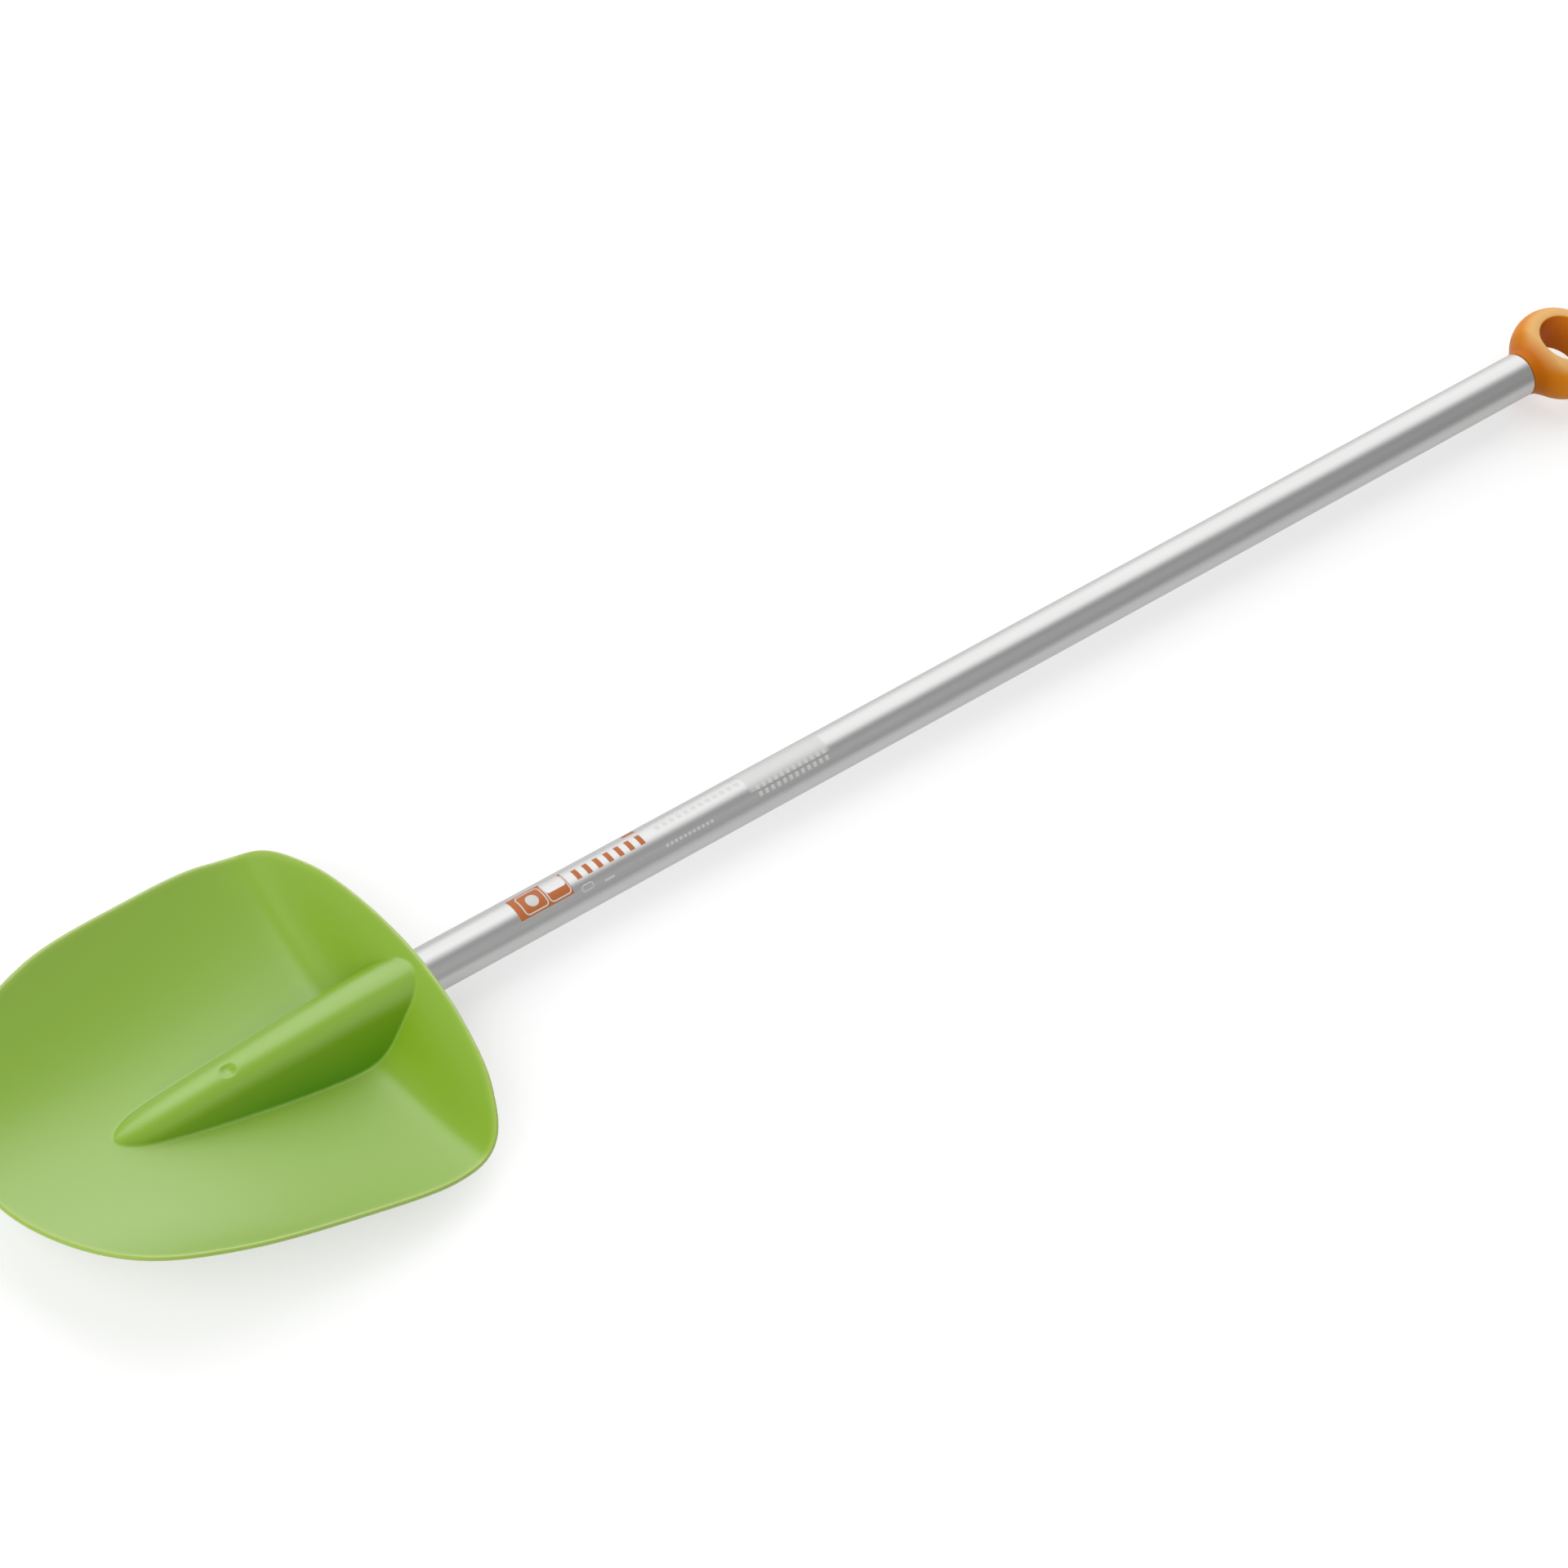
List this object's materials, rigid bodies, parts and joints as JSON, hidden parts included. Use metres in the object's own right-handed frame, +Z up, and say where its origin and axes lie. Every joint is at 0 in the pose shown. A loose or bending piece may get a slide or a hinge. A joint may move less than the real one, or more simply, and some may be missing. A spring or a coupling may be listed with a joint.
{
  "type": "childrens spade",
  "caption": "Child's sand spade with a dished plastic blade, a straight aluminium tube shaft and a compact plastic ring grip.",
  "frame": {"origin": "centre of the bounding box's underside, with the spade lying dish up on level ground", "axes": "+X along the shaft from the blade to the grip, +Y across the blade, +Z up out of the dish"},
  "size_m": [0.7898, 0.1546, 0.0386],
  "materials": {
    "green_plastic": "satin moulded green plastic",
    "aluminium": "satin drawn tube with printed bands",
    "orange_plastic": "satin moulded orange plastic",
    "steel": "plated"
  },
  "bodies": {
    "root": {"blade": "green_plastic", "shaft_tube": "aluminium", "grip": "orange_plastic", "blade_screw": "steel", "grip_screw": "steel"}
  },
  "joints": []
}
